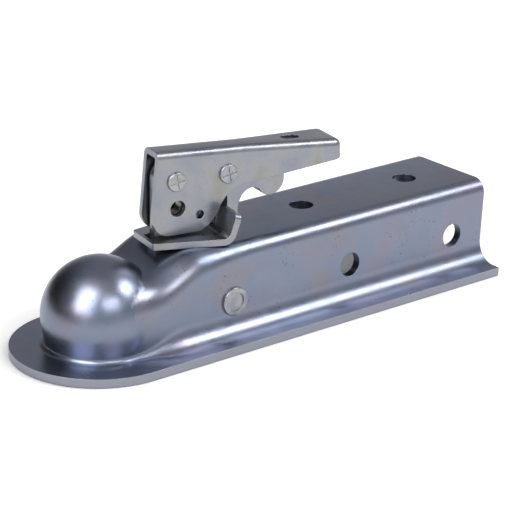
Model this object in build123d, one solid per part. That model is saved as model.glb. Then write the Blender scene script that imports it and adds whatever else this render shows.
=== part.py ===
from build123d import *
from math import cos, radians, sin, sqrt
import os

# Trailer coupling head for a 50.8 mm (2 inch) ball and a 2 inch channel tongue.
# One pressed steel body carries a lever latch on its roof: the lever pulls a flat
# stem up, and the stem lifts a clamp against the ball from below and behind.
#
# Frame, in millimetres: the origin is the centre of the ball, +X points along the
# channel towards the trailer, +Z is up. The latch is turned a little about its stem,
# so its pieces are drawn in their own frame and then placed.

# Ball socket and channel
BALL_RADIUS = 25.4
SOCKET_CLEARANCE = 0.8
SHEET = 4.8
CHANNEL_INNER_HALF_WIDTH = 25.8
ROOF_HEIGHT = 31.0
FLANGE_BOTTOM = -21.0
FLANGE_HALF_WIDTH = 47.5
CHANNEL_END = 245.0
END_LEAN = 2.5

# Roof that falls towards the dome, and the rounding that grows with the fall
FALL_START = 46.0
FALL_END = 12.0
FALL_DEPTH = 9.5
ROUNDING_START = 80.0
CORNER_RADIUS = 8.0
FRONT_CORNER_RADIUS = 17.0
STATION_STEP = 10.0
STATION_COUNT = 11

# Flare from wall to flange
FLARE_RADIUS = 12.0
FLARE_START = 34.0
DOME_FOOT_RADIUS = 3.0
DOME_TUCK = 1.4
TUCK_LENGTH = 14.0
DOME_TUCK_BELOW = 5.0

# Bolt holes
BOLT_HOLE_DIAMETER = 13.5
BOLT_SPACING = 76.2
TOP_HOLE_FIRST = 134.4
SIDE_HOLE_FIRST = 144.5
SIDE_HOLE_HEIGHT = 3.1

# Clamp pivot
PIVOT_X = 64.3
PIVOT_Z = 1.1
PIVOT_DIAMETER = 12.0
PIVOT_HEAD_DIAMETER = 15.6
PIVOT_HEAD_HEIGHT = 1.5
PIVOT_DISH_DIAMETER = 10.5
PIVOT_DISH_DEPTH = 0.8

# Clamp
CLAMP_JAW_GAP = 0.3
CLAMP_JAW_THICKNESS = 6.3
CLAMP_JAW_HALF_WIDTH = 19.0
CLAMP_JAW_FRONT = 13.0
CLAMP_JAW_BACK = 31.0
CLAMP_JAW_TOP = -4.0
CLAMP_JAW_BOTTOM = -19.8
CLAMP_ARM_TOP = -2.2
CLAMP_ARM_THICKNESS = 5.0
CLAMP_ARM_HALF_WIDTH = 17.0
CLAMP_BOSS_RADIUS = 9.5
CLAMP_BOSS_HALF_LENGTH = 11.0
CLAMP_SLOT_FORWARD = 1.2
CLAMP_SLOT_LENGTH = 15.5
CLAMP_SLOT_WIDTH = 10.8

# Fits
RUNNING_CLEARANCE = 0.05
SIDE_CLEARANCE = 0.3
HOLE_CLEARANCE = 0.05

# Latch frame
LATCH_X = 44.7
LATCH_YAW = 10.0
PIVOT_ABOVE_PLATE = 30.46

# Base plate, in the latch frame
PLATE_THICKNESS = 3.6
PLATE_SEAT_GAP = 0.04
PLATE_FRONT = -15.4
PLATE_FRONT_HALF_WIDTH = 12.0
PLATE_BEND = 21.3
PLATE_REAR_HALF_WIDTH = 22.0
PLATE_BEND_RADIUS = 3.5
PLATE_CORNER_RADIUS = 1.2
LIP_HEIGHT = 12.46
LIP_LEAN = 19.0
LIP_CORNER_RADIUS = 3.0
WINDOW_WIDTH = 7.0
WINDOW_ABOVE_PLATE = 3.76
WINDOW_HEIGHT = 6.2

# Stem
STEM_WIDTH = 20.0
STEM_THICKNESS = 6.0
STEM_NECK_WIDTH = 13.0
STEM_SHOULDER_DEPTH = 1.64
STEM_TAPER = 3.5
STEM_FLAT_END = 6.0
STEM_SHANK_DIAMETER = 9.5
STEM_SHANK_END = -18.6
STEM_SLOT_CLEARANCE = 0.8
STEM_SLOT_FORWARD = 1.4

# Lever, in the latch frame with the lever pivot as origin
LEVER_SHEET = 3.0
LEVER_HALF_WIDTH = 8.0
LEVER_HANDLE_HALF_WIDTH = 13.2
LEVER_WIDENING_START = 40.0
LEVER_END = 97.0
LEVER_FRONT_TOP = (-10.4, 16.6)
LEVER_FRONT_CORNER = (-13.7, -17.0)
LEVER_PLATE_GAP = 1.31
LEVER_BOTTOM_RADIUS = 10.0
LEVER_LIP_GAP = 1.05972
LEVER_TAIL_HOLLOW = (33.5, -9.0)
LEVER_TOP_END = 10.6
LEVER_HANDLE_FOOT = (44.8, -6.6)
LEVER_HANDLE_BOTTOM_END = 0.5
LEVER_TOP_BEND_RADIUS = 4.0
LEVER_END_RADIUS = 4.5
LEVER_SLOT_X = 71.0
LEVER_SLOT_LENGTH = 11.0
LEVER_SLOT_WIDTH = 6.0

# Pins of the latch
PIN_DIAMETER = 7.0
PIN_HEAD_DIAMETER = 10.4
PIN_HEAD_HEIGHT = 1.5
STAKE_WIDTH = 1.0
STAKE_DEPTH = 0.5
TRIGGER_PIVOT_X = 30.2
TRIGGER_PIVOT_Z = 0.0
LOCK_HOLE = (0.9, -14.9)
LOCK_HOLE_DIAMETER = 8.7
KEEPER_HOLE = (13.7, -20.0)
KEEPER_HOLE_DIAMETER = 4.8
WASHER_DIAMETER = 14.0
WASHER_GAP = 0.1

# Trigger, in the latch frame with the lever pivot as origin
TRIGGER_SHEET = 2.2
TRIGGER_WIDTH = 9.2
TRIGGER_BOSS_RADIUS = 7.0
TRIGGER_ARM_FRONT = 31.6
TRIGGER_ARM_REAR = 37.8
TRIGGER_ARM_BELOW_TOOTH = 1.1
TRIGGER_FOOT_HEIGHT = 3.6
TRIGGER_WEB_TOP = -14.0
TRIGGER_BACK = ((44.0, 2.0), (58.0, -1.0))
TRIGGER_FINGER = ((65.2, -5.5), (65.0, -11.5), (60.5, -16.2), (55.0, -16.6), (51.0, -13.0))
TRIGGER_FINGER_HOLLOW = ((46.0, -11.2), (41.5, -13.2), (39.2, -16.6))
TOOTH_TIP = 28.4
TOOTH_WINDOW_GAP = 0.8
TOOTH_HEIGHT = 2.2
TOOTH_WIDTH = 5.0

# Springs and the fasteners on the stem
SPRING_OUTER_DIAMETER = 19.6
SPRING_WIRE = 2.2
SPRING_TURNS = 5.5
SPRING_TOP_WASHER = 1.2
SPRING_TOP_WASHER_DIAMETER = 23.0
SPRING_SEAT_DROP = 3.7
SPRING_GAP = 0.05
NUT_WASHER_DIAMETER = 15.0
NUT_WASHER_THICKNESS = 2.0
NUT_FLATS = 14.3
NUT_HEIGHT = 7.5
TRIGGER_SPRING_WIRE = 1.0
TRIGGER_SPRING_RADIUS = 4.6
TRIGGER_SPRING_TURNS = 3

# Worked-out sizes
CHANNEL_HALF_WIDTH = CHANNEL_INNER_HALF_WIDTH + SHEET
SOCKET_RADIUS = BALL_RADIUS + SOCKET_CLEARANCE
DOME_RADIUS = SOCKET_RADIUS + SHEET
FLANGE_TOP = FLANGE_BOTTOM + SHEET
PLATE_BOTTOM = ROOF_HEIGHT + PLATE_SEAT_GAP
PLATE_TOP = PLATE_BOTTOM + PLATE_THICKNESS
LIP_TOP = PLATE_TOP + LIP_HEIGHT
WINDOW_BOTTOM = PLATE_TOP + WINDOW_ABOVE_PLATE
WINDOW_TOP = WINDOW_BOTTOM + WINDOW_HEIGHT
LEVER_PIVOT_HEIGHT = PLATE_TOP + PIVOT_ABOVE_PLATE
LEVER_BOTTOM = LEVER_PLATE_GAP - PIVOT_ABOVE_PLATE
STEM_NECK_TOP = PLATE_TOP - STEM_SHOULDER_DEPTH
TOOTH_BOTTOM = WINDOW_BOTTOM + TOOTH_WINDOW_GAP - LEVER_PIVOT_HEIGHT
TRIGGER_ARM_BOTTOM = TOOTH_BOTTOM - TRIGGER_ARM_BELOW_TOOTH
TRIGGER_FOOT_TOP = TRIGGER_ARM_BOTTOM + TRIGGER_FOOT_HEIGHT
CUT_MARGIN = 2.0


def smooth_step(value, start, end):
    """Rise from 0 at start to 1 at end with level ends."""
    share = min(max((value - start) / (end - start), 0.0), 1.0)
    return share * share * (3.0 - 2.0 * share)


def roof_at(x):
    """Height of the outer roof above the ball centre at one station."""
    return ROOF_HEIGHT - FALL_DEPTH * (1.0 - smooth_step(x, FALL_END, FALL_START))


def corner_at(x):
    """Outer radius of the roof's long edges at one station."""
    share = smooth_step(x, FALL_END, ROUNDING_START)
    return FRONT_CORNER_RADIUS + (CORNER_RADIUS - FRONT_CORNER_RADIUS) * share


def foot_at(x):
    """Half width of the outer wall where its flare begins."""
    return CHANNEL_HALF_WIDTH - DOME_TUCK * (1.0 - smooth_step(x, 0.0, TUCK_LENGTH))


def flare_at(x):
    """Outer radius of the flare from wall to flange."""
    share = smooth_step(x, 0.0, FLARE_START)
    return DOME_FOOT_RADIUS + (FLARE_RADIUS - DOME_FOOT_RADIUS) * share


def arc_middle(centre, radius, degrees):
    """Point on an arc, for the middle of a three-point arc."""
    return (
        centre[0] + radius * cos(radians(degrees)),
        centre[1] + radius * sin(radians(degrees)),
    )


def outer_half_section(x):
    """Right half of the body's solid outline at one station, flange included."""
    top = roof_at(x)
    corner = corner_at(x)
    foot = foot_at(x)
    flare = flare_at(x)
    flare_centre = (foot + flare, FLANGE_TOP + flare)
    corner_centre = (CHANNEL_HALF_WIDTH - corner, top - corner)
    outline = [
        Polyline(
            (0, top),
            (0, FLANGE_BOTTOM),
            (FLANGE_HALF_WIDTH, FLANGE_BOTTOM),
            (FLANGE_HALF_WIDTH, FLANGE_TOP),
            (foot + flare, FLANGE_TOP),
        ),
        ThreePointArc(
            (foot + flare, FLANGE_TOP),
            arc_middle(flare_centre, flare, 225),
            (foot, FLANGE_TOP + flare),
        ),
        Line((foot, FLANGE_TOP + flare), (CHANNEL_HALF_WIDTH, top - corner)),
        ThreePointArc(
            (CHANNEL_HALF_WIDTH, top - corner),
            arc_middle(corner_centre, corner, 45),
            (CHANNEL_HALF_WIDTH - corner, top),
        ),
        Line((CHANNEL_HALF_WIDTH - corner, top), (0, top)),
    ]
    return section_plane(x) * make_face(outline)


def inner_half_section(x):
    """Right half of the hollow at one station, one sheet inside the outline."""
    top = roof_at(x) - SHEET
    corner = corner_at(x) - SHEET
    half_width = CHANNEL_INNER_HALF_WIDTH
    foot = foot_at(x)
    flare = flare_at(x) + SHEET
    flare_centre = (foot + flare_at(x), FLANGE_TOP + flare_at(x))
    corner_centre = (half_width - corner, top - corner)
    outline = [
        Polyline(
            (0, top),
            (0, FLANGE_BOTTOM - CUT_MARGIN),
            (flare_centre[0], FLANGE_BOTTOM - CUT_MARGIN),
            (flare_centre[0], FLANGE_BOTTOM),
        ),
        ThreePointArc(
            (flare_centre[0], FLANGE_BOTTOM),
            arc_middle(flare_centre, flare, 225),
            (foot - SHEET, flare_centre[1]),
        ),
        Line((foot - SHEET, flare_centre[1]), (half_width, top - corner)),
        ThreePointArc(
            (half_width, top - corner),
            arc_middle(corner_centre, corner, 45),
            (half_width - corner, top),
        ),
        Line((half_width - corner, top), (0, top)),
    ]
    return section_plane(x) * make_face(outline)


def section_plane(x):
    """Plane across the channel, with its own x along +Y and its own y up."""
    return Plane(origin=(x, 0, 0), x_dir=(0, 1, 0), z_dir=(1, 0, 0))


def channel_solid(half_section, end):
    """Both halves of the channel, from the ball centre to its end."""
    stations = [STATION_STEP * index for index in range(STATION_COUNT)]
    front = loft([half_section(x) for x in stations])
    rear = extrude(half_section(stations[-1]), amount=end - stations[-1])
    half = front + rear
    return half + mirror(half, about=Plane.XZ)


def dome_solid(radius, wall, bottom, rim):
    """Solid of revolution of the dome with its foot, less the thickness named wall."""
    foot = CHANNEL_HALF_WIDTH - DOME_TUCK
    foot_centre = (foot + DOME_FOOT_RADIUS, FLANGE_TOP + DOME_FOOT_RADIUS)
    foot_radius = DOME_FOOT_RADIUS + wall
    tangent = (sqrt(radius**2 - DOME_TUCK_BELOW**2), -DOME_TUCK_BELOW)
    foot_low = foot_centre[1] - foot_radius
    outline = [
        Polyline((0, radius), (0, bottom), (rim, bottom), (rim, foot_low), (foot_centre[0], foot_low))
        if rim > foot_centre[0]
        else Polyline((0, radius), (0, bottom), (foot_centre[0], bottom), (foot_centre[0], foot_low)),
        ThreePointArc(
            (foot_centre[0], foot_low),
            arc_middle(foot_centre, foot_radius, 225),
            (foot_centre[0] - foot_radius, foot_centre[1]),
        ),
        Line((foot_centre[0] - foot_radius, foot_centre[1]), tangent),
        ThreePointArc(tangent, arc_middle((0, 0), radius, 35), (0, radius)),
    ]
    return revolve(Plane.XZ * make_face(outline), Axis.Z)


def latch_place(origin_height=0.0):
    """Place of the latch frame: on the stem's axis and turned about it."""
    return Location((LATCH_X, 0, origin_height), (0, 0, -LATCH_YAW))


def y_cylinder(x, z, diameter, half_length):
    """Cylinder across the part, centred on y = 0."""
    return Pos(x, 0, z) * Rot(90, 0, 0) * Cylinder(diameter / 2, 2 * half_length)


def slot_cutter(length, width, low, high, shift=0.0):
    """Upright prism with round ends, along the local X."""
    slot = Pos(shift, 0, low) * SlotOverall(length, width)
    return extrude(slot, amount=high - low, dir=(0, 0, 1))


def stem_slot_cutter(extra_length, low, high, shift=0.0):
    """Upright prism with square ends that clears the flat stem."""
    slot = Pos(shift, 0, low) * RectangleRounded(
        STEM_WIDTH + 2 * STEM_SLOT_CLEARANCE + extra_length,
        STEM_THICKNESS + 2 * STEM_SLOT_CLEARANCE,
        STEM_SLOT_CLEARANCE,
    )
    return extrude(slot, amount=high - low, dir=(0, 0, 1))


def make_coupler_body():
    """Pressed body: dome, fallen roof, channel, flare and flange in one sheet."""
    outside = dome_solid(DOME_RADIUS, 0.0, FLANGE_BOTTOM, FLANGE_HALF_WIDTH)
    outside += channel_solid(outer_half_section, CHANNEL_END)
    inside = dome_solid(SOCKET_RADIUS, SHEET, FLANGE_BOTTOM - CUT_MARGIN, 0.0)
    inside += channel_solid(inner_half_section, CHANNEL_END + CUT_MARGIN)
    body = outside - inside
    for index in range(2):
        top_x = TOP_HOLE_FIRST + index * BOLT_SPACING
        side_x = SIDE_HOLE_FIRST + index * BOLT_SPACING
        body -= Pos(top_x, 0, ROOF_HEIGHT) * Cylinder(BOLT_HOLE_DIAMETER / 2, 4 * SHEET)
        body -= y_cylinder(side_x, SIDE_HOLE_HEIGHT, BOLT_HOLE_DIAMETER, FLANGE_HALF_WIDTH)
    body -= y_cylinder(PIVOT_X, PIVOT_Z, PIVOT_DIAMETER + 2 * HOLE_CLEARANCE, FLANGE_HALF_WIDTH)
    slot = stem_slot_cutter(0.0, ROOF_HEIGHT - 2 * SHEET, ROOF_HEIGHT + SHEET)
    body -= latch_place() * slot
    lean_cut = make_face(
        Polyline(
            (CHANNEL_END - END_LEAN, FLANGE_BOTTOM),
            (CHANNEL_END, ROOF_HEIGHT),
            (CHANNEL_END + 10, ROOF_HEIGHT + 10),
            (CHANNEL_END + 10, FLANGE_BOTTOM - 10),
            (CHANNEL_END - END_LEAN, FLANGE_BOTTOM - 10),
            close=True,
        )
    )
    body -= extrude(Plane.XZ * lean_cut, amount=FLANGE_HALF_WIDTH + CUT_MARGIN, both=True)
    return body


def make_clamp_pivot_rivet():
    """Rivet across the channel, with a dished head outside each wall."""
    rivet = y_cylinder(PIVOT_X, PIVOT_Z, PIVOT_DIAMETER, CHANNEL_HALF_WIDTH)
    for side in (-1, 1):
        head_y = side * (CHANNEL_HALF_WIDTH + PIVOT_HEAD_HEIGHT / 2)
        head = Cylinder(PIVOT_HEAD_DIAMETER / 2, PIVOT_HEAD_HEIGHT)
        outer_edge = head.edges().filter_by(GeomType.CIRCLE).sort_by(Axis.Z)[-1]
        head = fillet(outer_edge, PIVOT_HEAD_HEIGHT / 3)
        dish_height = PIVOT_HEAD_HEIGHT / 2 - PIVOT_DISH_DEPTH / 2
        head -= Pos(0, 0, dish_height) * Cylinder(PIVOT_DISH_DIAMETER / 2, PIVOT_DISH_DEPTH)
        rivet += Pos(PIVOT_X, head_y, PIVOT_Z) * Rot(-90 * side, 0, 0) * head
    return rivet


def make_clamp_spacer(side):
    """Tube on the rivet between the clamp's boss and one wall."""
    start = CLAMP_BOSS_HALF_LENGTH + SIDE_CLEARANCE
    length = CHANNEL_INNER_HALF_WIDTH - RUNNING_CLEARANCE - start
    tube = Cylinder(CLAMP_BOSS_RADIUS - 1, length)
    tube -= Cylinder(PIVOT_DIAMETER / 2 + RUNNING_CLEARANCE, 2 * length)
    return Pos(PIVOT_X, side * (start + length / 2), PIVOT_Z) * Rot(90, 0, 0) * tube


def make_ball_clamp():
    """Forged clamp: a cup under the ball, an arm past the stem and a pivot boss."""
    jaw_inner = BALL_RADIUS + CLAMP_JAW_GAP
    jaw_window = Pos(
        (CLAMP_JAW_FRONT + CLAMP_JAW_BACK) / 2, 0, (CLAMP_JAW_TOP + CLAMP_JAW_BOTTOM) / 2
    ) * Box(
        CLAMP_JAW_BACK - CLAMP_JAW_FRONT,
        2 * CLAMP_JAW_HALF_WIDTH,
        CLAMP_JAW_TOP - CLAMP_JAW_BOTTOM,
    )
    jaw = Sphere(jaw_inner + CLAMP_JAW_THICKNESS) & jaw_window
    arm_start = jaw_inner
    arm_length = PIVOT_X - arm_start
    arm = Pos(arm_start + arm_length / 2, 0, CLAMP_ARM_TOP - CLAMP_ARM_THICKNESS / 2) * Box(
        arm_length, 2 * CLAMP_ARM_HALF_WIDTH, CLAMP_ARM_THICKNESS
    )
    arm = fillet(arm.edges().filter_by(Axis.Z), CLAMP_ARM_THICKNESS)
    boss = y_cylinder(PIVOT_X, PIVOT_Z, 2 * CLAMP_BOSS_RADIUS, CLAMP_BOSS_HALF_LENGTH)
    clamp = jaw + arm
    clamp -= y_cylinder(PIVOT_X, PIVOT_Z, 2 * CLAMP_BOSS_RADIUS, FLANGE_HALF_WIDTH)
    clamp += boss
    clamp -= Sphere(jaw_inner)
    clamp -= y_cylinder(PIVOT_X, PIVOT_Z, PIVOT_DIAMETER + 2 * RUNNING_CLEARANCE, FLANGE_HALF_WIDTH)
    slot = slot_cutter(
        CLAMP_SLOT_LENGTH,
        CLAMP_SLOT_WIDTH,
        CLAMP_ARM_TOP - 2 * CLAMP_ARM_THICKNESS,
        CLAMP_ARM_TOP + CLAMP_ARM_THICKNESS,
    )
    clamp -= Pos(LATCH_X - CLAMP_SLOT_FORWARD, 0, 0) * slot
    return clamp


def lip_path(offset):
    """Side outline of the bent plate at one distance from its upper face."""
    turn = 90 - LIP_LEAN
    radius = PLATE_BEND_RADIUS + offset
    centre = (PLATE_BEND, PLATE_TOP + PLATE_BEND_RADIUS)
    level = PLATE_TOP - offset
    bend_end = arc_middle(centre, radius, turn - 90)
    run = (LIP_TOP - arc_middle(centre, PLATE_BEND_RADIUS, turn - 90)[1]) / sin(radians(turn))
    lip_end = (bend_end[0] + run * cos(radians(turn)), bend_end[1] + run * sin(radians(turn)))
    bend = ThreePointArc((PLATE_BEND, level), arc_middle(centre, radius, turn / 2 - 90), bend_end)
    return (PLATE_FRONT, level), bend, bend_end, lip_end


def make_base_plate():
    """Bent plate on the roof: it widens to the rear and turns up into a slotted lip."""
    top_start, top_bend, top_bend_end, top_end = lip_path(0.0)
    low_start, low_bend, low_bend_end, low_end = lip_path(PLATE_THICKNESS)
    side = make_face(
        [
            Line(top_start, (PLATE_BEND, PLATE_TOP)),
            top_bend,
            Polyline(top_bend_end, top_end, low_end, low_bend_end),
            low_bend,
            Polyline((PLATE_BEND, PLATE_BOTTOM), low_start, top_start),
        ]
    )
    plate = extrude(Plane.XZ * side, amount=PLATE_REAR_HALF_WIDTH, both=True)
    outline = Polyline(
        (PLATE_FRONT, -PLATE_FRONT_HALF_WIDTH),
        (PLATE_BEND, -PLATE_REAR_HALF_WIDTH),
        (low_end[0] + CUT_MARGIN, -PLATE_REAR_HALF_WIDTH),
        (low_end[0] + CUT_MARGIN, PLATE_REAR_HALF_WIDTH),
        (PLATE_BEND, PLATE_REAR_HALF_WIDTH),
        (PLATE_FRONT, PLATE_FRONT_HALF_WIDTH),
        close=True,
    )
    plan = extrude(Pos(0, 0, ROOF_HEIGHT) * make_face(outline), amount=LIP_TOP)
    upright = plan.edges().filter_by(Axis.Z).sort_by(Axis.X)[:2]
    plate = plate & fillet(upright, PLATE_CORNER_RADIUS)
    lip_face = plate.faces().sort_by(Axis.Z)[-1]
    corner_edges = [edge for edge in lip_face.edges() if abs(abs(edge.center().Y) - PLATE_REAR_HALF_WIDTH) < 0.01]
    plate = fillet(corner_edges, LIP_CORNER_RADIUS)
    plate -= stem_slot_cutter(
        2 * STEM_SLOT_FORWARD, ROOF_HEIGHT - SHEET, PLATE_TOP + SHEET, shift=-STEM_SLOT_FORWARD
    )
    window_middle = (WINDOW_BOTTOM + WINDOW_TOP) / 2
    plate -= Pos(low_end[0], 0, window_middle) * Box(
        4 * PLATE_THICKNESS, WINDOW_WIDTH, WINDOW_TOP - WINDOW_BOTTOM
    )
    return latch_place() * plate


def make_latch_stem():
    """Flat stem with a round eye, a neck below the plate and a threaded shank."""
    pivot = LEVER_PIVOT_HEIGHT
    half = STEM_WIDTH / 2
    neck = STEM_NECK_WIDTH / 2
    outline = [
        ThreePointArc((-half, pivot), (0, pivot + half), (half, pivot)),
        Polyline(
            (half, pivot),
            (half, STEM_NECK_TOP),
            (neck, STEM_NECK_TOP - STEM_TAPER),
            (neck, STEM_FLAT_END),
            (-neck, STEM_FLAT_END),
            (-neck, STEM_NECK_TOP - STEM_TAPER),
            (-half, STEM_NECK_TOP),
            (-half, pivot),
        ),
    ]
    stem = extrude(Plane.XZ * make_face(outline), amount=STEM_THICKNESS / 2, both=True)
    shank_length = STEM_FLAT_END - STEM_SHANK_END
    stem += Pos(0, 0, STEM_SHANK_END + shank_length / 2) * Cylinder(STEM_SHANK_DIAMETER / 2, shank_length)
    stem -= y_cylinder(0, pivot, PIN_DIAMETER + 2 * RUNNING_CLEARANCE, STEM_WIDTH)
    stem -= y_cylinder(LOCK_HOLE[0], pivot + LOCK_HOLE[1], LOCK_HOLE_DIAMETER, STEM_WIDTH)
    return latch_place() * stem


def lever_tail_radius():
    """Radius of the lever's tail, which swings past the top of the lip."""
    lip_end = lip_path(0.0)[3]
    return sqrt(lip_end[0] ** 2 + (lip_end[1] - LEVER_PIVOT_HEIGHT) ** 2) - LEVER_LIP_GAP


def lever_profile(drop, spread):
    """Side outline of the lever; drop lowers its top and spread opens its other sides."""
    bottom = LEVER_BOTTOM - spread
    tail_radius = lever_tail_radius()
    tail_x = sqrt(tail_radius**2 - LEVER_BOTTOM**2)
    tail_middle = arc_middle((0, 0), tail_radius, -50)
    tail_top = arc_middle((0, 0), tail_radius - 1.5, -33)
    front_x = LEVER_FRONT_CORNER[0] - spread
    corner_centre_x = LEVER_FRONT_CORNER[0] + LEVER_BOTTOM_RADIUS
    corner_centre_z = LEVER_BOTTOM + LEVER_BOTTOM_RADIUS
    if spread:
        return make_face(
            Polyline(
                (front_x, bottom),
                (front_x, LEVER_FRONT_TOP[1] - drop + 0.1),
                (LEVER_END + spread, lever_top_at(LEVER_END + spread) - drop),
                (LEVER_END + spread, bottom),
                close=True,
            )
        )
    corner = ThreePointArc(
        (front_x, corner_centre_z),
        arc_middle((corner_centre_x, corner_centre_z), LEVER_BOTTOM_RADIUS, 225),
        (corner_centre_x, bottom),
    )
    return make_face(
        [
            Polyline(LEVER_FRONT_TOP, (front_x, corner_centre_z)),
            corner,
            Line((corner_centre_x, bottom), (tail_x, bottom)),
            ThreePointArc((tail_x, bottom), tail_middle, tail_top),
            ThreePointArc(tail_top, LEVER_TAIL_HOLLOW, LEVER_HANDLE_FOOT),
            Polyline(
                LEVER_HANDLE_FOOT,
                (LEVER_END, LEVER_HANDLE_BOTTOM_END),
                (LEVER_END, LEVER_TOP_END),
                LEVER_FRONT_TOP,
            ),
        ]
    )


def lever_top_at(x):
    """Height of the lever's sloping top at one place along it."""
    share = (x - LEVER_FRONT_TOP[0]) / (LEVER_END - LEVER_FRONT_TOP[0])
    return LEVER_FRONT_TOP[1] + (LEVER_TOP_END - LEVER_FRONT_TOP[1]) * share


def lever_plan(inset, reach):
    """Plan outline of the lever, which widens into the handle."""
    front = LEVER_FRONT_CORNER[0] - reach
    narrow = LEVER_HALF_WIDTH - inset
    wide = LEVER_HANDLE_HALF_WIDTH - inset
    slope = (wide - narrow) / (LEVER_END - LEVER_WIDENING_START)
    end = LEVER_END + reach
    end_half = wide + slope * reach
    points = [(front, narrow), (LEVER_WIDENING_START, narrow), (end, end_half)]
    mirrored = [(x, -y) for x, y in reversed(points)]
    return make_face(Polyline(*points, *mirrored, close=True))


def make_latch_lever():
    """Folded lever: two side cheeks under one top, wider at the handle."""
    tall = 60.0
    side = extrude(Plane.XZ * lever_profile(0.0, 0.0), amount=LEVER_HANDLE_HALF_WIDTH + 1, both=True)
    outer_plan = extrude(Pos(0, 0, -tall) * lever_plan(0.0, 0.0), amount=2 * tall)
    outer_end = outer_plan.edges().filter_by(Axis.Z).sort_by(Axis.X)[-2:]
    outside = side & fillet(outer_end, LEVER_END_RADIUS)
    top_face = outside.faces().filter_by(lambda f: f.normal_at().Z > 0.9).sort_by(Axis.Z)[-1]
    long_edges = [edge for edge in top_face.edges() if abs(edge.center().Y) > 5 and edge.length > 20]
    outside = fillet(long_edges, LEVER_TOP_BEND_RADIUS)
    hollow_side = extrude(
        Plane.XZ * lever_profile(LEVER_SHEET, CUT_MARGIN), amount=LEVER_HANDLE_HALF_WIDTH, both=True
    )
    inner_plan = extrude(Pos(0, 0, -tall) * lever_plan(LEVER_SHEET, CUT_MARGIN), amount=2 * tall)
    inside = hollow_side & inner_plan
    inner_top = inside.faces().filter_by(lambda f: f.normal_at().Z > 0.9).sort_by(Axis.Z)[-1]
    inner_edges = [edge for edge in inner_top.edges() if abs(edge.center().Y) > 2 and edge.length > 20]
    inside = fillet(inner_edges, LEVER_TOP_BEND_RADIUS - LEVER_SHEET)
    lever = outside - inside
    pin_hole = PIN_DIAMETER + 2 * HOLE_CLEARANCE
    lever -= y_cylinder(0, 0, pin_hole, tall)
    lever -= y_cylinder(TRIGGER_PIVOT_X, TRIGGER_PIVOT_Z, pin_hole, tall)
    lever -= y_cylinder(LOCK_HOLE[0], LOCK_HOLE[1], LOCK_HOLE_DIAMETER, tall)
    lever -= y_cylinder(KEEPER_HOLE[0], KEEPER_HOLE[1], KEEPER_HOLE_DIAMETER, tall)
    lever -= Pos(LEVER_SLOT_X, 0, 0) * slot_cutter(LEVER_SLOT_LENGTH, LEVER_SLOT_WIDTH, 2.0, tall)
    return latch_place(LEVER_PIVOT_HEIGHT) * lever


def make_latch_pin(x, z):
    """Staked pin through both cheeks, with a cross pressed into each head."""
    half = LEVER_HALF_WIDTH
    pin = Cylinder(PIN_DIAMETER / 2, 2 * half)
    for side in (-1, 1):
        head = Cylinder(PIN_HEAD_DIAMETER / 2, PIN_HEAD_HEIGHT)
        edge = head.edges().filter_by(GeomType.CIRCLE).sort_by(Axis.Z)[-1]
        head = fillet(edge, PIN_HEAD_HEIGHT / 2)
        for turn in (0, 90):
            groove = Box(0.8 * PIN_HEAD_DIAMETER, STAKE_WIDTH, 2 * STAKE_DEPTH)
            head -= Pos(0, 0, PIN_HEAD_HEIGHT / 2) * Rot(0, 0, turn + 10) * groove
        flip = Rot(0, 0, 0) if side > 0 else Rot(180, 0, 0)
        pin += Pos(0, 0, side * (half + PIN_HEAD_HEIGHT / 2)) * flip * head
    placed = Pos(x, 0, z) * Rot(90, 0, 0) * pin
    return latch_place(LEVER_PIVOT_HEIGHT) * placed


def make_stem_washer(side):
    """Washer on the lever pin between the stem and one cheek."""
    room = LEVER_HALF_WIDTH - LEVER_SHEET - STEM_THICKNESS / 2
    thickness = room - 2 * WASHER_GAP
    washer = Cylinder(WASHER_DIAMETER / 2, thickness)
    washer -= Cylinder(PIN_DIAMETER / 2 + RUNNING_CLEARANCE, 2 * thickness)
    offset = side * (STEM_THICKNESS / 2 + WASHER_GAP + thickness / 2)
    return latch_place(LEVER_PIVOT_HEIGHT) * Pos(0, offset, 0) * Rot(90, 0, 0) * washer


def trigger_profile():
    """Side outline of the trigger: boss, arm behind the lip and finger tab."""
    boss = TRIGGER_BOSS_RADIUS
    boss_front = (TRIGGER_PIVOT_X - boss, TRIGGER_PIVOT_Z)
    boss_top = (TRIGGER_PIVOT_X, TRIGGER_PIVOT_Z + boss)
    return make_face(
        [
            ThreePointArc(boss_front, arc_middle((TRIGGER_PIVOT_X, TRIGGER_PIVOT_Z), boss, 135), boss_top),
            Spline(boss_top, *TRIGGER_BACK),
            Spline(TRIGGER_BACK[-1], *TRIGGER_FINGER),
            Spline(TRIGGER_FINGER[-1], *TRIGGER_FINGER_HOLLOW, (TRIGGER_ARM_REAR, TRIGGER_FOOT_TOP)),
            Polyline(
                (TRIGGER_ARM_REAR, TRIGGER_FOOT_TOP),
                (TRIGGER_ARM_REAR, TRIGGER_ARM_BOTTOM),
                (TRIGGER_ARM_FRONT, TRIGGER_ARM_BOTTOM),
                (TRIGGER_ARM_FRONT, TRIGGER_WEB_TOP),
                boss_front,
            ),
        ]
    )


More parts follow.
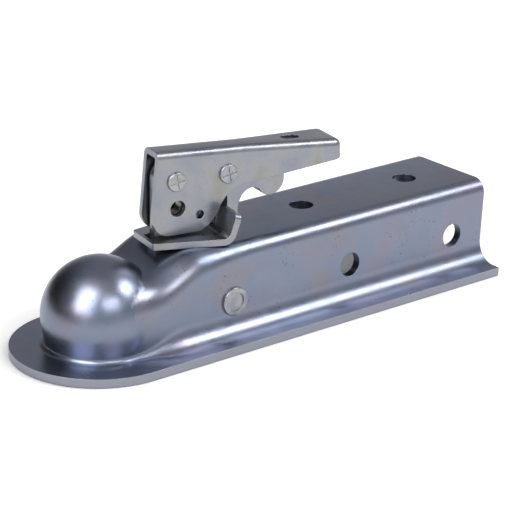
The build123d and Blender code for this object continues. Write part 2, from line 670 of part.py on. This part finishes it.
def make_trigger():
    """Folded trigger: two cheeks, a front web on the arm and the tooth on the web."""
    half = TRIGGER_WIDTH / 2
    cheeks = extrude(Plane.XZ * trigger_profile(), amount=half, both=True)
    hollow = extrude(Plane.XZ * trigger_profile(), amount=half - TRIGGER_SHEET, both=True)
    web_height = TRIGGER_WEB_TOP - TRIGGER_ARM_BOTTOM
    web = Pos(
        TRIGGER_ARM_FRONT + TRIGGER_SHEET / 2, 0, TRIGGER_ARM_BOTTOM + web_height / 2
    ) * Box(TRIGGER_SHEET, TRIGGER_WIDTH, web_height)
    tooth_length = TRIGGER_ARM_FRONT + TRIGGER_SHEET / 2 - TOOTH_TIP
    tooth = Pos(TOOTH_TIP + tooth_length / 2, 0, TOOTH_BOTTOM + TOOTH_HEIGHT / 2) * Box(
        tooth_length, TOOTH_WIDTH, TOOTH_HEIGHT
    )
    trigger = cheeks - hollow + web + tooth
    trigger -= y_cylinder(
        TRIGGER_PIVOT_X, TRIGGER_PIVOT_Z, PIN_DIAMETER + 2 * RUNNING_CLEARANCE, TRIGGER_WIDTH
    )
    return latch_place(LEVER_PIVOT_HEIGHT) * trigger


def coil(radius, wire, height, turns):
    """Open helical coil that stands on z = 0."""
    path = Helix(pitch=height / turns, height=height, radius=radius)
    section = Plane(origin=path @ 0, z_dir=path % 0) * Circle(wire / 2)
    return sweep(section, path=path)


def make_clamp_spring():
    """Compression spring round the stem, between the roof and the clamp's arm."""
    low = CLAMP_ARM_TOP + SPRING_GAP
    height = spring_top() - low - SPRING_GAP - SPRING_WIRE
    radius = (SPRING_OUTER_DIAMETER - SPRING_WIRE) / 2
    return Pos(LATCH_X, 0, low + SPRING_WIRE / 2) * coil(radius, SPRING_WIRE, height, SPRING_TURNS)


def spring_top():
    """Underside of the washer that the spring pushes against."""
    return ROOF_HEIGHT - SHEET - SPRING_SEAT_DROP - SPRING_TOP_WASHER


def make_spring_washer():
    """Washer between the spring and the falling roof above it."""
    washer = Cylinder(SPRING_TOP_WASHER_DIAMETER / 2, SPRING_TOP_WASHER)
    washer -= latch_rotation() * Box(
        STEM_NECK_WIDTH + 2 * SIDE_CLEARANCE, STEM_THICKNESS + 2 * SIDE_CLEARANCE, 2 * SPRING_TOP_WASHER
    )
    return Pos(LATCH_X, 0, spring_top() + SPRING_TOP_WASHER / 2) * washer


def latch_rotation():
    """Turn of the latch about its stem."""
    return Rot(0, 0, -LATCH_YAW)


def make_nut_washer():
    """Thick washer on the shank below the clamp's arm."""
    top = CLAMP_ARM_TOP - CLAMP_ARM_THICKNESS - RUNNING_CLEARANCE
    washer = Cylinder(NUT_WASHER_DIAMETER / 2, NUT_WASHER_THICKNESS)
    washer -= Cylinder(STEM_SHANK_DIAMETER / 2, 2 * NUT_WASHER_THICKNESS)
    return Pos(LATCH_X, 0, top - NUT_WASHER_THICKNESS / 2) * washer


def make_lock_nut():
    """Hexagon nut that sets the clamp's height on the shank."""
    top = CLAMP_ARM_TOP - CLAMP_ARM_THICKNESS - RUNNING_CLEARANCE - NUT_WASHER_THICKNESS
    hexagon = RegularPolygon(NUT_FLATS / 2, 6, major_radius=False)
    nut = extrude(hexagon, amount=-NUT_HEIGHT)
    nut -= Cylinder(STEM_SHANK_DIAMETER / 2, 4 * NUT_HEIGHT)
    return Pos(LATCH_X, 0, top) * nut


def make_trigger_spring():
    """Torsion spring on the trigger's pin, with one leg forward and one leg down the arm."""
    width = TRIGGER_SPRING_WIRE * 1.1 * TRIGGER_SPRING_TURNS
    winding = coil(TRIGGER_SPRING_RADIUS, TRIGGER_SPRING_WIRE, width, TRIGGER_SPRING_TURNS)
    spring = Rot(90, 0, 0) * winding
    placed = Pos(TRIGGER_PIVOT_X, width / 2, TRIGGER_PIVOT_Z) * spring
    return latch_place(LEVER_PIVOT_HEIGHT) * placed


def build_nodes():
    """Every piece of the coupling by its node's name."""
    return {
        "coupler_body": make_coupler_body(),
        "clamp_pivot_rivet": make_clamp_pivot_rivet(),
        "clamp_spacer_near": make_clamp_spacer(-1),
        "clamp_spacer_far": make_clamp_spacer(1),
        "ball_clamp": make_ball_clamp(),
        "base_plate": make_base_plate(),
        "latch_stem": make_latch_stem(),
        "clamp_spring": make_clamp_spring(),
        "spring_washer": make_spring_washer(),
        "nut_washer": make_nut_washer(),
        "lock_nut": make_lock_nut(),
        "latch_lever": make_latch_lever(),
        "lever_pivot_pin": make_latch_pin(0.0, 0.0),
        "stem_washer_near": make_stem_washer(-1),
        "stem_washer_far": make_stem_washer(1),
        "trigger": make_trigger(),
        "trigger_pivot_pin": make_latch_pin(TRIGGER_PIVOT_X, TRIGGER_PIVOT_Z),
        "trigger_spring": make_trigger_spring(),
    }


def main():
    """Write one STEP file per piece."""
    os.makedirs("parts", exist_ok=True)
    for name, solid in build_nodes().items():
        export_step(solid, f"parts/{name}.step")
        print(name, len(solid.solids()), round(solid.volume))


main()
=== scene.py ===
"""Looks of the trailer coupling head: finishes, thread, light and camera."""

import logging
import math
from dataclasses import dataclass
from enum import Enum

import bpy
from mathutils import Matrix, Vector


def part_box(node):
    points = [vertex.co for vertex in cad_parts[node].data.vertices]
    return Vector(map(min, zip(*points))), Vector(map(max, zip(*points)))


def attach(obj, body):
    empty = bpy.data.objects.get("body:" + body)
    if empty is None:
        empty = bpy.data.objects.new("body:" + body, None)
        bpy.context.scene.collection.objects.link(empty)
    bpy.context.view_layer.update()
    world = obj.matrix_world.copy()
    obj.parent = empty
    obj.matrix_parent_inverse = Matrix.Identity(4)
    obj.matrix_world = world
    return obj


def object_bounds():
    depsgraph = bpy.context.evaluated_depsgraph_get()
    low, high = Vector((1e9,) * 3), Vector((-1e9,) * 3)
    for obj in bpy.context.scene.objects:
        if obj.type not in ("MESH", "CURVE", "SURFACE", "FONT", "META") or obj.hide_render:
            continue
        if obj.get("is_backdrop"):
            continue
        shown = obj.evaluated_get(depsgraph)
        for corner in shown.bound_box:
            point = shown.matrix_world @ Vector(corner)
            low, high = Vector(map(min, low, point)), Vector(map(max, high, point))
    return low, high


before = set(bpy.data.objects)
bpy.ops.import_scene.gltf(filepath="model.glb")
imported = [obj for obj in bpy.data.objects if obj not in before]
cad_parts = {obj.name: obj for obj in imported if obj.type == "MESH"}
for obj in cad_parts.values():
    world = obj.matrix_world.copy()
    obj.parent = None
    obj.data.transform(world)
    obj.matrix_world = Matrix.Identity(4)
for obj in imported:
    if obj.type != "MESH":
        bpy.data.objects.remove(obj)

LOG = logging.getLogger("coupling")
MM = 0.001
WHITE = "#ffffff"

Tree = bpy.types.NodeTree
Socket = bpy.types.NodeSocket
Point = tuple[float, float, float]
Span = tuple[float, float]


class Crease(Enum):
    """Angle in degrees from which an edge stays sharp, by how the piece was made."""

    SHEET = 32.0
    WIRE = 60.0


def linear(hex_colour: str) -> tuple[float, float, float, float]:
    """Turn an sRGB hex colour into linear light.

    Args:
        hex_colour: six hex digits with a leading hash.

    Returns:
        Red, green, blue and an alpha of one.
    """
    parts = [int(hex_colour[i : i + 2], 16) / 255 for i in (1, 3, 5)]
    light = [p / 12.92 if p <= 0.04045 else ((p + 0.055) / 1.055) ** 2.4 for p in parts]
    return (light[0], light[1], light[2], 1.0)


def add_node(tree: Tree, kind: str, feeds: dict | None = None, **settings: object) -> bpy.types.Node:
    """Add a node, set its properties, and set or link its inputs.

    Args:
        tree: the node tree.
        kind: the node's type name.
        feeds: input name or number to a value or to an output socket.
        settings: the node's own properties.

    Returns:
        The new node.
    """
    node = tree.nodes.new(kind)
    for key, value in settings.items():
        setattr(node, key, value)
    for key, value in (feeds or {}).items():
        if isinstance(value, Socket):
            tree.links.new(value, node.inputs[key])
        else:
            node.inputs[key].default_value = value
    return node


def empty_tree(owner: bpy.types.ID) -> Tree:
    """Switch a material or world to nodes and clear what it starts with.

    Args:
        owner: the material or world.

    Returns:
        Its empty node tree.
    """
    owner.use_nodes = True
    owner.node_tree.nodes.clear()
    return owner.node_tree


def place_mesh(name: str, mesh: bpy.types.Mesh) -> bpy.types.Object:
    """Make an object of a mesh and link it to the scene.

    Args:
        name: the object's name.
        mesh: its mesh, with its place in its vertices.

    Returns:
        The new object, at the origin.
    """
    piece = bpy.data.objects.new(name, mesh)
    bpy.context.collection.objects.link(piece)
    return piece


@dataclass(frozen=True)
class SteelFinish:
    """Plated or oiled steel: satin metal with faint drifting tints and fine pits.

    Args:
        name: the material's name.
        base: main colour.
        tints: colours that drift over the base in patches.
        patch_mm: size of those patches.
        tint_stops: where on the noise the first tint, the base and the other tints stand.
        roughness: middle roughness.
        spread: how far the roughness wanders either way.
        wander_mm: size of the rougher and smoother patches.
        wander_noise: noise that gives the smoothest and the roughest place.
        grain_mm: size of the surface grain, coarser than the real one so that it shows.
        grain_depth_mm: depth of that grain.
        grain_strength: share of that depth that shades the surface.
        pitted: share of the surface that may hold dark pits.
        pit: colour of the pits.
        pit_mm: size of a pit, larger than the real one so that it shows.
        pit_noise: noise at which a pit starts and is at its darkest.
        pit_cover: share of the pit's colour where it is at its darkest.
        field_mm: size of the fields that pits gather in.
        field_noise: noise at which a field starts and is full, on a surface with no share for pits.
        field_fall: how far that noise falls on a surface that may be pitted all over.
        noise_roughness: weight of each finer octave of every noise.
        edge_round_mm: radius that sharp edges seem to have.
        rim: colour of the sheared rim, or an empty string for none.
        rim_reach_mm: distance from the ball's axis at which that rim starts.
    """

    name: str
    base: str
    tints: tuple[str, str, str]
    patch_mm: float = 45.0
    tint_stops: tuple[float, ...] = (0.32, 0.46, 0.56, 0.68)
    roughness: float = 0.34
    spread: float = 0.07
    wander_mm: float = 9.0
    wander_noise: Span = (0.3, 0.7)
    grain_mm: float = 1.0
    grain_depth_mm: float = 0.03
    grain_strength: float = 0.4
    pitted: float = 0.4
    pit: str = "#565763"
    pit_mm: float = 1.3
    pit_noise: Span = (0.66, 0.72)
    pit_cover: float = 0.7
    field_mm: float = 20.0
    field_noise: Span = (0.75, 0.85)
    field_fall: float = 0.5
    noise_roughness: float = 0.55
    edge_round_mm: float = 0.35
    rim: str = ""
    rim_reach_mm: float = 47.3

    def make(self) -> bpy.types.Material:
        """Build the material from noise on Object coordinates.

        Returns:
            The finished material.
        """
        material = bpy.data.materials.new(self.name)
        tree = empty_tree(material)
        place = add_node(tree, "ShaderNodeTexCoord").outputs["Object"]
        noises = self.noises(tree, place)
        colour = self.pits(tree, noises, self.drift(tree, noises))
        if self.rim:
            colour = self.rimmed(tree, place, colour)
        round_edge = add_node(tree, "ShaderNodeBevel", {"Radius": self.edge_round_mm * MM}, samples=4)
        bump = add_node(
            tree,
            "ShaderNodeBump",
            {
                "Strength": self.grain_strength,
                "Distance": self.grain_depth_mm * MM,
                "Height": noises["grain"],
                "Normal": round_edge.outputs[0],
            },
        )
        skin = {
            "Base Color": colour,
            "Metallic": 1.0,
            "Roughness": self.wander(tree, noises),
            "Normal": bump.outputs[0],
        }
        shader = add_node(tree, "ShaderNodeBsdfPrincipled", skin)
        add_node(tree, "ShaderNodeOutputMaterial", {"Surface": shader.outputs[0]})
        return material

    def noises(self, tree: Tree, place: Socket) -> dict[str, Socket]:
        """Make the noise of each pattern, with its grain at a real size.

        Args:
            tree: the material's tree.
            place: Object coordinates.

        Returns:
            Each noise by the name of its pattern.
        """
        patterns = {
            "patch": (self.patch_mm, 2.0),
            "pit": (self.pit_mm, 1.0),
            "field": (self.field_mm, 1.0),
            "grain": (self.grain_mm, 3.0),
            "wander": (self.wander_mm, 4.0),
        }
        noises = {}
        for pattern, (size_mm, detail) in patterns.items():
            feeds = {
                "Vector": place,
                "Scale": 1.0 / (size_mm * MM),
                "Detail": detail,
                "Roughness": self.noise_roughness,
            }
            noises[pattern] = add_node(tree, "ShaderNodeTexNoise", feeds).outputs[0]
        return noises

    def drift(self, tree: Tree, noises: dict[str, Socket]) -> Socket:
        """Lay wide patches of each tint over the base colour.

        Args:
            tree: the material's tree.
            noises: each pattern's noise.

        Returns:
            The colour.
        """
        ramp = add_node(tree, "ShaderNodeValToRGB", {0: noises["patch"]})
        elements = ramp.color_ramp.elements
        elements.new(self.tint_stops[1])
        elements.new(self.tint_stops[2])
        colours = (self.tints[0], self.base, self.tints[1], self.tints[2])
        for element, stop, colour in zip(elements, self.tint_stops, colours):
            element.position = stop
            element.color = linear(colour)
        return ramp.outputs[0]

    def pits(self, tree: Tree, noises: dict[str, Socket], colour: Socket) -> Socket:
        """Scatter small dark pits in fields over a colour.

        Args:
            tree: the material's tree.
            noises: each pattern's noise.
            colour: the colour below the pits.

        Returns:
            The pitted colour.
        """
        pit_start, pit_full = self.pit_noise
        spots = {"Value": noises["pit"], "From Min": pit_start, "From Max": pit_full, "To Max": self.pit_cover}
        spot = add_node(tree, "ShaderNodeMapRange", spots)
        field_start, field_full = (edge - self.field_fall * self.pitted for edge in self.field_noise)
        fields = {"Value": noises["field"], "From Min": field_start, "From Max": field_full}
        field = add_node(tree, "ShaderNodeMapRange", fields)
        both = {0: spot.outputs[0], 1: field.outputs[0]}
        share = add_node(tree, "ShaderNodeMath", both, operation="MULTIPLY")
        colours = {0: share.outputs[0], 6: colour, 7: linear(self.pit)}
        return add_node(tree, "ShaderNodeMix", colours, data_type="RGBA").outputs[2]

    def wander(self, tree: Tree, noises: dict[str, Socket]) -> Socket:
        """Let the roughness wander either side of its middle.

        Args:
            tree: the material's tree.
            noises: each pattern's noise.

        Returns:
            The roughness.
        """
        feeds = {
            "Value": noises["wander"],
            "From Min": self.wander_noise[0],
            "From Max": self.wander_noise[1],
            "To Min": self.roughness - self.spread,
            "To Max": self.roughness + self.spread,
        }
        return add_node(tree, "ShaderNodeMapRange", feeds).outputs[0]

    def rimmed(self, tree: Tree, place: Socket, colour: Socket) -> Socket:
        """Lighten the sheared rim, beyond a distance from the ball's axis and the channel's middle.

        Args:
            tree: the material's tree.
            place: Object coordinates.
            colour: the colour inside the rim.

        Returns:
            The colour with its rim.
        """
        axes = add_node(tree, "ShaderNodeSeparateXYZ", {0: place}).outputs
        ahead = add_node(tree, "ShaderNodeMath", {0: axes[0], 1: 0.0}, operation="MINIMUM")
        flat = add_node(tree, "ShaderNodeCombineXYZ", {0: ahead.outputs[0], 1: axes[1]})
        reach = add_node(tree, "ShaderNodeVectorMath", {0: flat.outputs[0]}, operation="LENGTH")
        limits = {0: reach.outputs["Value"], 1: self.rim_reach_mm * MM}
        beyond = add_node(tree, "ShaderNodeMath", limits, operation="GREATER_THAN")
        colours = {0: beyond.outputs[0], 6: colour, 7: linear(self.rim)}
        return add_node(tree, "ShaderNodeMix", colours, data_type="RGBA").outputs[2]


# Pressed sheet under zinc and clear passivate: satin blue-grey with faint violet and blue drifts.
PRESSED_ZINC = SteelFinish(
    "zinc_plated_pressing",
    "#7f8494",
    ("#848191", "#7b8396", "#82828c"),
    roughness=0.32,
    spread=0.05,
    grain_mm=0.8,
    grain_depth_mm=0.05,
    rim="#8f929c",
)
# Folded latch sheet, plated the same but smoother: brighter and less blue.
FOLDED_ZINC = SteelFinish(
    "zinc_plated_latch_sheet",
    "#8c8f96",
    ("#868992", "#929397", "#8e8c88"),
    patch_mm=18.0,
    roughness=0.3,
    spread=0.05,
    grain_mm=0.7,
    grain_depth_mm=0.015,
    pitted=0.1,
)
# Pins, rivet, washers and nut: turned steel under thin zinc, lighter and duller.
TURNED_ZINC = SteelFinish(
    "zinc_plated_turned_steel",
    "#979aa1",
    ("#8e9199", "#a2a3a5", "#989690"),
    patch_mm=6.0,
    roughness=0.36,
    edge_round_mm=0.2,
)
# Forged clamp: the coarse skin of the forging shows through the zinc, so it is dark and rough.
FORGED_ZINC = SteelFinish(
    "zinc_plated_forging",
    "#77787f",
    ("#6a6a70", "#80828a", "#73706c"),
    patch_mm=15.0,
    roughness=0.5,
    grain_mm=1.4,
    grain_depth_mm=0.12,
)
# Drawn spring wire with an oil film: dark and fairly glossy.
SPRING_WIRE = SteelFinish(
    "oiled_spring_wire",
    "#6d6d70",
    ("#5f5f63", "#77777a", "#6b6660"),
    patch_mm=10.0,
    roughness=0.3,
    grain_depth_mm=0.01,
)


@dataclass
class SubAssembly:
    """CAD pieces that share a finish and a way of being shaded.

    Args:
        finish: the material that they get.
        nodes: names of the CAD pieces.
        crease: how sharp an edge has to be to stay sharp.
        weld_mm: distance within which loose corners are joined.
    """

    finish: bpy.types.Material
    nodes: tuple[str, ...] = ()
    crease: Crease = Crease.SHEET
    weld_mm: float = 0.002

    def dress(self) -> None:
        """Give each piece its finish, and smooth shading up to the crease angle."""
        for name in self.nodes:
            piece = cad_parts[name]
            for slot in piece.material_slots:
                slot.material = self.finish
            faces = piece.data.polygons
            faces.foreach_set("use_smooth", [True] * len(faces))
            weld = piece.modifiers.new("weld", "WELD")
            weld.merge_threshold = self.weld_mm * MM
            split = piece.modifiers.new("crease", "EDGE_SPLIT")
            split.split_angle = math.radians(self.crease.value)
            LOG.info("%s: %s dressed", type(self).__name__, name)


@dataclass
class PressedBody(SubAssembly):
    """Dome, channel and flange, pressed from one sheet."""

    nodes: tuple[str, ...] = ("coupler_body",)


@dataclass
class ClampPivot(SubAssembly):
    """Rivet across the channel and the tubes that centre the clamp on it."""

    nodes: tuple[str, ...] = ("clamp_pivot_rivet", "clamp_spacer_near", "clamp_spacer_far")


@dataclass
class BallClamp(SubAssembly):
    """Forging that grips the ball from below."""

    nodes: tuple[str, ...] = ("ball_clamp",)


@dataclass
class LatchSheet(SubAssembly):
    """Plate, stem, lever and trigger, cut and folded from sheet."""

    nodes: tuple[str, ...] = ("base_plate", "latch_stem", "latch_lever", "trigger")


@dataclass
class LatchFasteners(SubAssembly):
    """Staked pins, washers and nut of the latch."""

    nodes: tuple[str, ...] = (
        "lever_pivot_pin",
        "trigger_pivot_pin",
        "stem_washer_near",
        "stem_washer_far",
        "spring_washer",
        "nut_washer",
        "lock_nut",
    )


@dataclass
class Springs(SubAssembly):
    """Spring round the stem and winding on the trigger's pin."""

    nodes: tuple[str, ...] = ("clamp_spring", "trigger_spring")
    crease: Crease = Crease.WIRE


@dataclass
class ShankThread:
    """Thread on the stem's shank below the lock nut: ridges one pitch apart.

    Args:
        finish: material of the thread.
        low_z_mm: height of the lowest ridge.
        pitch_mm: distance between ridges.
        turns: number of ridges.
        radius_mm: radius of each ridge's middle.
        ridge_mm: radius of each ridge's section.
        round_steps: corners round the shank.
        ridge_steps: corners round a ridge's section.
    """

    finish: bpy.types.Material
    low_z_mm: float = -18.0
    pitch_mm: float = 1.0
    turns: int = 2
    radius_mm: float = 4.55
    ridge_mm: float = 0.4
    round_steps: int = 40
    ridge_steps: int = 6

    def tree(self) -> Tree:
        """Node tree that stacks ridges upwards.

        Returns:
            The tree, with its sizes as named inputs.
        """
        tree = bpy.data.node_groups.new("thread_ridges", "GeometryNodeTree")
        for name in ("Radius", "Ridge", "Pitch"):
            tree.interface.new_socket(name, in_out="INPUT", socket_type="NodeSocketFloat")
        tree.interface.new_socket("Turns", in_out="INPUT", socket_type="NodeSocketInt")
        tree.interface.new_socket("Geometry", in_out="OUTPUT", socket_type="NodeSocketGeometry")
        given = add_node(tree, "NodeGroupInput").outputs
        circle = "GeometryNodeCurvePrimitiveCircle"
        ring = add_node(tree, circle, {"Resolution": self.round_steps, "Radius": given["Radius"]})
        bead = add_node(tree, circle, {"Resolution": self.ridge_steps, "Radius": given["Ridge"]})
        sweep = {"Curve": ring.outputs[0], "Profile Curve": bead.outputs[0]}
        ridge = add_node(tree, "GeometryNodeCurveToMesh", sweep)
        step = add_node(tree, "ShaderNodeCombineXYZ", {2: given["Pitch"]})
        line = add_node(tree, "GeometryNodeMeshLine", {"Count": given["Turns"], "Offset": step.outputs[0]})
        copies = {"Points": line.outputs[0], "Instance": ridge.outputs[0]}
        stack = add_node(tree, "GeometryNodeInstanceOnPoints", copies)
        real = add_node(tree, "GeometryNodeRealizeInstances", {0: stack.outputs[0]})
        skin = {"Geometry": real.outputs[0], "Material": self.finish}
        dressed = add_node(tree, "GeometryNodeSetMaterial", skin)
        add_node(tree, "NodeGroupOutput", {0: dressed.outputs[0]})
        return tree

    def build(self) -> bpy.types.Object:
        """Run the tree and keep its result as a plain mesh.

        Returns:
            The thread, riding on the stem.
        """
        tree = self.tree()
        maker = place_mesh("thread_maker", bpy.data.meshes.new("thread_maker"))
        modifier = maker.modifiers.new("thread", "NODES")
        modifier.node_group = tree
        sizes = {
            "Radius": self.radius_mm * MM,
            "Ridge": self.ridge_mm * MM,
            "Pitch": self.pitch_mm * MM,
            "Turns": self.turns,
        }
        for item in tree.interface.items_tree:
            if item.in_out == "INPUT":
                modifier[item.identifier] = sizes[item.name]
        graph = bpy.context.evaluated_depsgraph_get()
        mesh = bpy.data.meshes.new_from_object(maker.evaluated_get(graph))
        bpy.data.objects.remove(maker)
        low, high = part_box("latch_stem")
        middle = [(low[axis] + high[axis]) / 2 for axis in (0, 1)]
        mesh.transform(Matrix.Translation((*middle, self.low_z_mm * MM)))
        mesh.shade_smooth()
        piece = place_mesh("shank_thread", mesh)
        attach(piece, "stem")
        LOG.info("ShankThread: %d ridges", self.turns)
        return piece


@dataclass(frozen=True)
class SoftLamp:
    """Rectangular lamp.

    Args:
        name: the lamp's name.
        place: its middle in metres.
        power: its power in watts.
        size: its width and height in metres.
        on_floor: whether it lights the matt floor too.
    """

    name: str
    place: Point
    power: float
    size: Span
    on_floor: bool = True

    def hang(self, aim: Point) -> None:
        """Hang the lamp and turn it to a point.

        Args:
            aim: the point that it faces, in metres.
        """
        data = bpy.data.lights.new(self.name, "AREA")
        data.shape = "RECTANGLE"
        data.size, data.size_y = self.size
        data.energy = self.power
        lamp = bpy.data.objects.new(self.name, data)
        lamp.location = self.place
        lamp.visible_diffuse = self.on_floor
        lamp.rotation_euler = (Vector(aim) - Vector(self.place)).to_track_quat("-Z", "Y").to_euler()
        bpy.context.collection.objects.link(lamp)


@dataclass
class Studio:
    """Pale floor, soft lamps and a world that is white to the camera.

    Args:
        lamps: the soft lamps.
        aim: point that the lamps face, in metres.
        floor_size: side of the floor in metres.
        floor_gap: air between the flange and the floor in metres.
        floor_colour: colour of the floor's card.
        floor_glow: light that the floor adds for the camera and in reflections.
        contact_reach: distance in metres within which ambient occlusion takes that light away, which paints
            shade under and near the part.
        sky_tint: colour of the world in reflections.
        fill: brightness with which the world lights matt surfaces.
        ceiling: brightness that metal sees overhead.
        ceiling_rise: upward share of a direction from which that brightness holds.
        dark_end: brightness that metal sees on the studio's dark side.
        dark_way: direction of that dark side.
        dark_span: how far a direction agrees with that side where the dark is full and where it ends.
    """

    lamps: tuple[SoftLamp, ...] = (
        SoftLamp("over_dome", (-1.4, -0.45, 1.4), 42.0, (1.2, 1.8), on_floor=False),
        SoftLamp("overhead_right", (1.2, -0.85, 1.5), 18.0, (0.9, 0.7)),
        SoftLamp("above_camera", (-0.2, -1.6, 1.25), 12.0, (1.0, 0.6)),
    )
    aim: Point = (0.09, 0.0, 0.01)
    floor_size: float = 2.6
    floor_gap: float = 0.0003
    floor_colour: str = "#e9e9e9"
    floor_glow: float = 0.5
    contact_reach: float = 0.06
    sky_tint: str = "#f2f4fb"
    fill: float = 0.45
    ceiling: float = 0.43
    ceiling_rise: float = 0.35
    dark_end: float = 0.04
    dark_way: Point = (-0.62, 0.79, 0.0)
    dark_span: Span = (0.8, 0.25)

    def build(self) -> None:
        """Make the floor, the lamps and the world."""
        self.floor()
        for lamp in self.lamps:
            lamp.hang(self.aim)
        self.world()
        LOG.info("Studio: %d lamps", len(self.lamps))

    def rays(self, tree: Tree, *names: str) -> Socket:
        """Pick out rays of some kinds.

        Args:
            tree: the material's or world's tree.
            names: outputs of Light Path.

        Returns:
            One for such a ray, and zero for any other.
        """
        path = add_node(tree, "ShaderNodeLightPath").outputs
        total = path[names[0]]
        for name in names[1:]:
            total = add_node(tree, "ShaderNodeMath", {0: total, 1: path[name]}, operation="MAXIMUM").outputs[0]
        return total

    def card(self) -> bpy.types.Material:
        """Matt white card that glows for the camera and in reflections; ambient occlusion takes the glow away
        near the part, which paints shade in the channel and round its foot.

        Returns:
            The floor's material.
        """
        material = bpy.data.materials.new("matt_white_card")
        tree = empty_tree(material)
        share = self.rays(tree, "Is Camera Ray", "Is Glossy Ray", "Is Transmission Ray")
        # Painted shade: ambient occlusion dims the floor's glow inside the channel and round the part's foot.
        room = add_node(tree, "ShaderNodeAmbientOcclusion", {"Distance": self.contact_reach}, samples=8)
        shaded = {0: room.outputs["AO"], 1: self.floor_glow}
        clear = add_node(tree, "ShaderNodeMath", shaded, operation="MULTIPLY")
        strength = add_node(tree, "ShaderNodeMath", {0: share, 1: clear.outputs[0]}, operation="MULTIPLY")
        glow = add_node(tree, "ShaderNodeEmission", {"Color": linear(WHITE), "Strength": strength.outputs[0]})
        matt = add_node(tree, "ShaderNodeBsdfDiffuse", {"Color": linear(self.floor_colour)})
        both = add_node(tree, "ShaderNodeAddShader", {0: glow.outputs[0], 1: matt.outputs[0]})
        add_node(tree, "ShaderNodeOutputMaterial", {"Surface": both.outputs[0]})
        return material

    def floor(self) -> None:
        """Lay the flat pale floor that keeps the object's shadow."""
        half = self.floor_size / 2
        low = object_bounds()[0][2] - self.floor_gap
        corners = [(-half, -half, low), (half, -half, low), (half, half, low), (-half, half, low)]
        mesh = bpy.data.meshes.new("studio_floor")
        mesh.from_pydata(corners, [], [(0, 1, 2, 3)])
        mesh.materials.append(self.card())
        place_mesh("studio_floor", mesh)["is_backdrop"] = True

    def world(self) -> None:
        """Make it white to the camera, and darker upwards and on one side in reflections."""
        world = bpy.data.worlds.new("studio_world")
        bpy.context.scene.world = world
        tree = empty_tree(world)
        way = add_node(tree, "ShaderNodeTexCoord").outputs["Generated"]
        axes = add_node(tree, "ShaderNodeSeparateXYZ", {0: way}).outputs
        rise = {"Value": axes[2], "From Max": self.ceiling_rise, "To Min": 1.0, "To Max": self.ceiling}
        upward = add_node(tree, "ShaderNodeMapRange", rise)
        facing = add_node(tree, "ShaderNodeVectorMath", {0: way, 1: self.dark_way}, operation="DOT_PRODUCT")
        sideways = add_node(
            tree,
            "ShaderNodeMapRange",
            {
                "Value": facing.outputs["Value"],
                "From Min": self.dark_span[0],
                "From Max": self.dark_span[1],
                "To Min": self.dark_end,
                "To Max": 1.0,
            },
        )
        mirror = add_node(
            tree, "ShaderNodeMath", {0: upward.outputs[0], 1: sideways.outputs[0]}, operation="MULTIPLY"
        )
        sky = "ShaderNodeBackground"
        glossy = add_node(tree, sky, {"Color": linear(self.sky_tint), "Strength": mirror.outputs[0]})
        fill = add_node(tree, sky, {"Color": linear(WHITE), "Strength": self.fill})
        white = add_node(tree, sky, {"Color": linear(WHITE), "Strength": 1.0})
        in_metal = self.rays(tree, "Is Glossy Ray")
        direct = self.rays(tree, "Is Camera Ray", "Is Transmission Ray")
        lit = add_node(tree, "ShaderNodeMixShader", {0: in_metal, 1: fill.outputs[0], 2: glossy.outputs[0]})
        whole = add_node(tree, "ShaderNodeMixShader", {0: direct, 1: lit.outputs[0], 2: white.outputs[0]})
        add_node(tree, "ShaderNodeOutputWorld", {"Surface": whole.outputs[0]})


@dataclass
class PhotoCamera:
    """Camera at the photograph's place, from a fit to the part's edges and holes.

    Args:
        azimuth_degrees: turn about the upright axis.
        elevation_degrees: height of view above the level.
        roll_degrees: tilt of the picture.
        distance: metres from the target.
        target_mm: point of the part in the middle of the picture.
        focal_pixels: focal length in pixels of the square picture.
        frame_pixels: side of the picture.
        sensor_mm: width of the sensor.
        clip_start: nearest distance that it sees, in metres.
    """

    azimuth_degrees: float = -39.04
    elevation_degrees: float = 21.0
    roll_degrees: float = 0.88
    distance: float = 1.186
    target_mm: Point = (106.9, 4.6, 5.8)
    focal_pixels: float = 2171.6
    frame_pixels: float = 512.0
    sensor_mm: float = 36.0
    clip_start: float = 0.05

    def build(self) -> bpy.types.Object:
        """Create the camera and make it the scene's.

        Returns:
            The camera object.
        """
        turn = math.radians(self.azimuth_degrees)
        lift = math.radians(self.elevation_degrees)
        roll = math.radians(self.roll_degrees)
        right = Vector((math.cos(turn), math.sin(turn), 0.0))
        ahead = Vector((-math.sin(turn) * math.cos(lift), math.cos(turn) * math.cos(lift), -math.sin(lift)))
        up = right.cross(ahead)
        rolled_right = math.cos(roll) * right + math.sin(roll) * up
        rolled_up = math.cos(roll) * up - math.sin(roll) * right
        data = bpy.data.cameras.new("photo_camera")
        data.sensor_width = self.sensor_mm
        data.lens = self.focal_pixels * self.sensor_mm / self.frame_pixels
        data.clip_start = self.clip_start
        camera = bpy.data.objects.new("photo_camera", data)
        place = Vector(self.target_mm) * MM - ahead * self.distance
        turned = Matrix((rolled_right, rolled_up, -ahead)).transposed().to_4x4()
        camera.matrix_world = Matrix.Translation(place) @ turned
        bpy.context.collection.objects.link(camera)
        bpy.context.scene.camera = camera
        return camera


def main() -> None:
    """Dress every piece, add the thread, light the part and set the camera."""
    logging.basicConfig(level=logging.INFO)
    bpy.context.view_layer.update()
    turned = TURNED_ZINC.make()
    PressedBody(PRESSED_ZINC.make()).dress()
    ClampPivot(turned).dress()
    BallClamp(FORGED_ZINC.make()).dress()
    LatchSheet(FOLDED_ZINC.make()).dress()
    LatchFasteners(turned).dress()
    Springs(SPRING_WIRE.make()).dress()
    ShankThread(turned).build()
    Studio().build()
    PhotoCamera().build()
    bpy.context.scene.view_settings.view_transform = "Standard"


if __name__ == "__main__":
    main()
